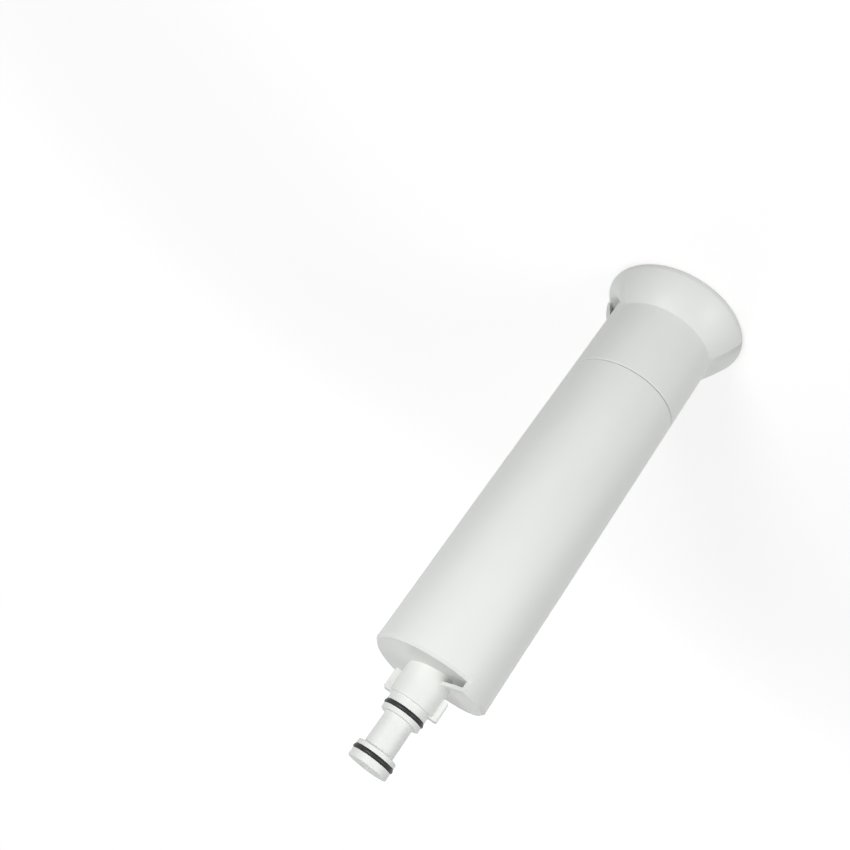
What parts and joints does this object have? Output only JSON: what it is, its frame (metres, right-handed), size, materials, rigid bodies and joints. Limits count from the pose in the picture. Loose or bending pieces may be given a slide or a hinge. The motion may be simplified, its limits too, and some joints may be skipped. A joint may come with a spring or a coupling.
{
  "type": "water purifier filter cartridge",
  "caption": "White cylindrical filter cartridge with a flared grip cap, a bayonet nozzle with black seal rings at the other end, and a carbon block element sealed inside.",
  "frame": {"origin": "centre of the flat top of the flared cap, on which the cartridge stands", "axes": "+Z along the cartridge from the cap to the nozzle tip; -Y is the side that the picture faces; X lies across the two bayonet lugs, which are turned 10 degrees from it"},
  "size_m": [0.069, 0.069, 0.25],
  "materials": {
    "white_plastic": "satin moulded",
    "inner_plastic": "matt moulded",
    "seal_rubber": "smooth",
    "carbon": "porous",
    "fleece": "felted"
  },
  "bodies": {
    "root": {"housing": "white_plastic", "flared_cap": "white_plastic", "tip_seal": "seal_rubber", "collar_seal": "seal_rubber", "carbon_block": "carbon", "outer_fleece": "fleece", "core_fleece": "fleece", "closed_end_cap": "inner_plastic", "open_end_cap": "inner_plastic", "spigot_seal": "seal_rubber"}
  },
  "joints": []
}
